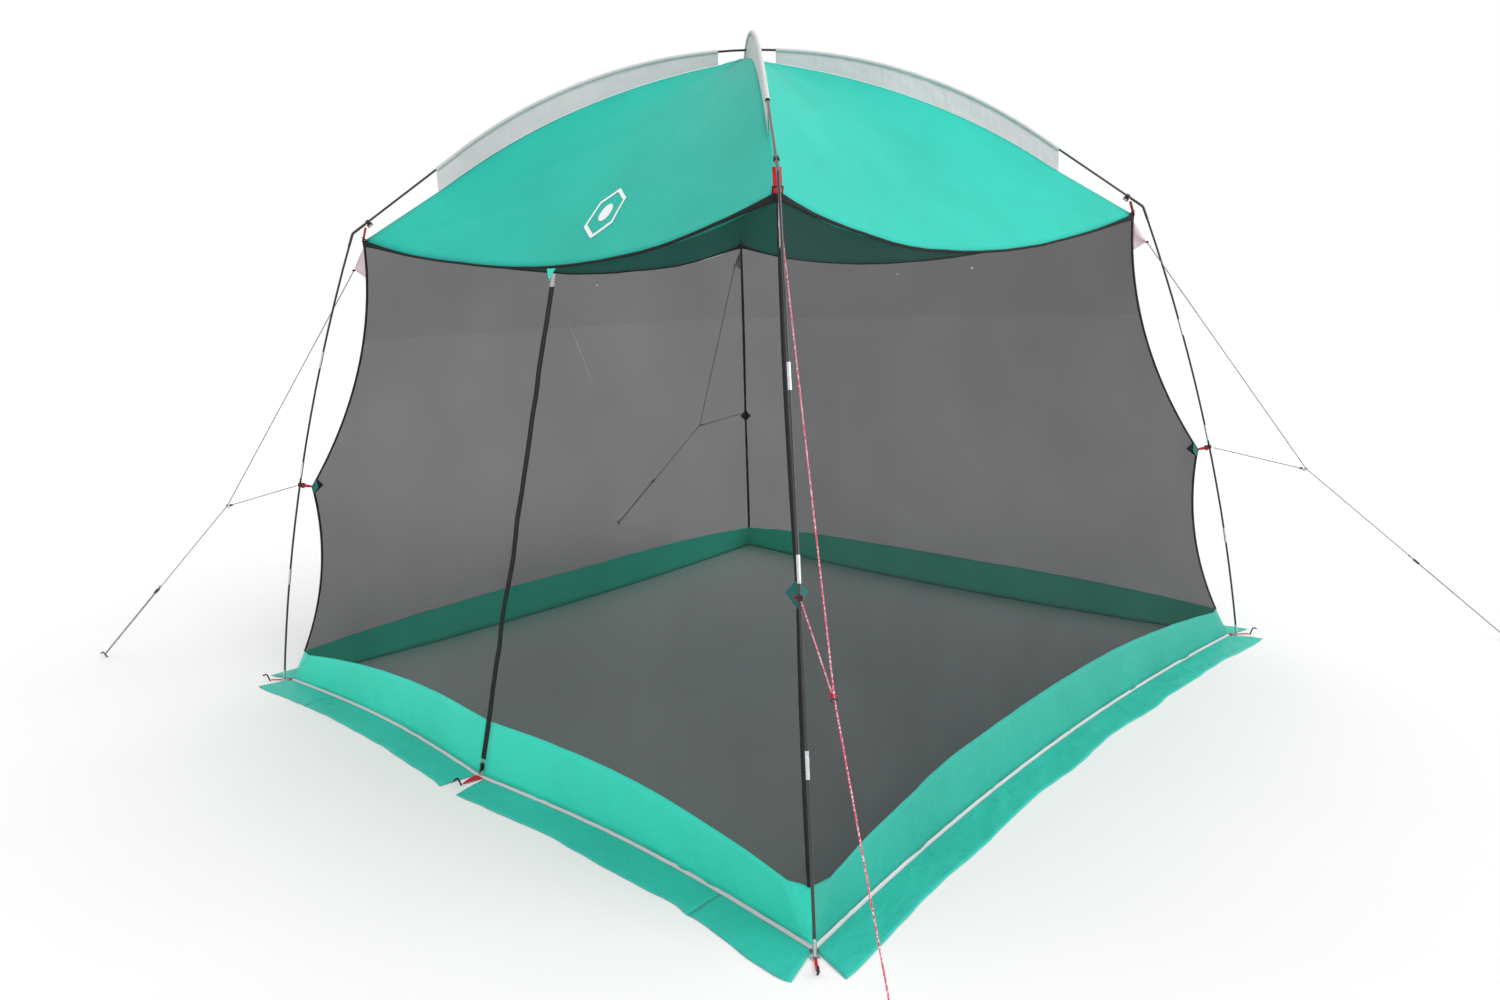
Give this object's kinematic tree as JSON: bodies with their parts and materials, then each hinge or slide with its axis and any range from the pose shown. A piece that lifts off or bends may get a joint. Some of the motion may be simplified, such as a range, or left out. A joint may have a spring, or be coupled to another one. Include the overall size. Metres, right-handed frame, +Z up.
{
  "type": "screen house",
  "caption": "Square camping screen house: two crossed flexible poles on fixed shoulder bends carry a green canopy with see-through net walls, mud bands, a zipped door and guy lines.",
  "frame": {"origin": "on the ground at the centre of the footprint, straight under the peak", "axes": "+Z up, -Y faces the zipped wall, +X to the right of a person facing that wall from outside"},
  "size_m": [5.1087, 4.3286, 2.528],
  "materials": {
    "canopy": "matt",
    "sleeve": "matt",
    "mesh": "fine net, part see-through",
    "mud_band": "matt coated",
    "skirt": "matt coated",
    "binding": "matt",
    "webbing": "woven",
    "pole": "smooth fibreglass",
    "shock_cord": "matt",
    "steel": "brushed",
    "clip": "moulded",
    "peg": "satin",
    "rope": "braided",
    "gusset": "matt",
    "zip": "matt",
    "zip_metal": "satin"
  },
  "bodies": {
    "tent": {"canopy_back": "canopy", "canopy_front": "canopy", "canopy_left": "canopy", "canopy_right": "canopy", "corner_bindings": "binding", "corner_patches": "mud_band", "corner_straps": "webbing", "elbow_ferrules": "pole", "foot_pins": "steel", "foot_rings": "steel", "foot_tips": "steel", "ground_pegs": "peg", "ground_webbing": "webbing", "guy_branch_back_left": "rope", "guy_branch_back_right": "rope", "guy_branch_front_left": "rope", "guy_branch_front_right": "rope", "guy_gussets": "gusset", "guy_pegs": "peg", "guy_rings": "clip", "guy_rope_back_left": "rope", "guy_rope_back_right": "rope", "guy_rope_front_left": "rope", "guy_rope_front_right": "rope", "hem_tapes": "binding", "mesh_back": "mesh", "mesh_front_sides": "mesh", "mesh_left": "mesh", "mesh_right": "mesh", "mud_band_back": "mud_band", "mud_band_front_sides": "mud_band", "mud_band_left": "mud_band", "mud_band_right": "mud_band", "pole_clips": "clip", "pole_tubes_lower": "pole", "pole_tubes_upper": "pole", "shock_cord_lower": "shock_cord", "shock_cord_upper": "shock_cord", "skirt_back": "skirt", "skirt_front_corners": "skirt", "skirt_left": "skirt", "skirt_right": "skirt", "sleeve_long": "sleeve", "sleeves_short": "sleeve", "straight_ferrules": "steel", "zip_tab": "mud_band"},
    "door_left": {"mesh_door_left": "mesh", "mud_band_door_left": "mud_band", "skirt_door_left": "skirt", "zip_tape_left": "zip"},
    "door_right": {"mesh_door_right": "mesh", "mud_band_door_right": "mud_band", "skirt_door_right": "skirt", "zip_tape_right": "zip"},
    "slider": {"zip_slider": "zip_metal"},
    "pull": {"zip_pull": "zip_metal"},
    "runner_front_left": {"guy_runner_front_left": "clip"},
    "runner_front_right": {"guy_runner_front_right": "clip"},
    "runner_back_right": {"guy_runner_back_right": "clip"},
    "runner_back_left": {"guy_runner_back_left": "clip"}
  },
  "joints": [
    {"name": "door_left_fold", "type": "hinge", "parent": "tent", "child": "door_left", "pos_m": [-0.01, -1.01678, 1.63995], "axis": [0.653, 0.2043, 0.7293], "range_deg": [-130, 0]},
    {"name": "door_right_fold", "type": "hinge", "parent": "tent", "child": "door_right", "pos_m": [0.01, -1.01678, 1.63995], "axis": [-0.653, 0.2043, 0.7293], "range_deg": [0, 130]},
    {"name": "zip_slide", "type": "slide", "parent": "tent", "child": "slider", "axis": [0, 0.2697, 0.9629], "range_m": [0, 1.699]},
    {"name": "pull_swing", "type": "hinge", "parent": "slider", "child": "pull", "pos_m": [0, -1.4693, 0.0429], "axis": [-1, 0, 0], "range_deg": [0, 165]},
    {"name": "runner_front_left_slide", "type": "slide", "parent": "tent", "child": "runner_front_left", "axis": [0.6882, 0.3165, 0.6529], "range_m": [-0.45, 0]},
    {"name": "runner_front_right_slide", "type": "slide", "parent": "tent", "child": "runner_front_right", "axis": [-0.5777, 0.49, 0.6529], "range_m": [-0.45, 0]},
    {"name": "runner_back_right_slide", "type": "slide", "parent": "tent", "child": "runner_back_right", "axis": [-0.6228, -0.4312, 0.6529], "range_m": [-0.45, 0]},
    {"name": "runner_back_left_slide", "type": "slide", "parent": "tent", "child": "runner_back_left", "axis": [0.7575, -0.004, 0.6529], "range_m": [-0.45, 0]}
  ]
}
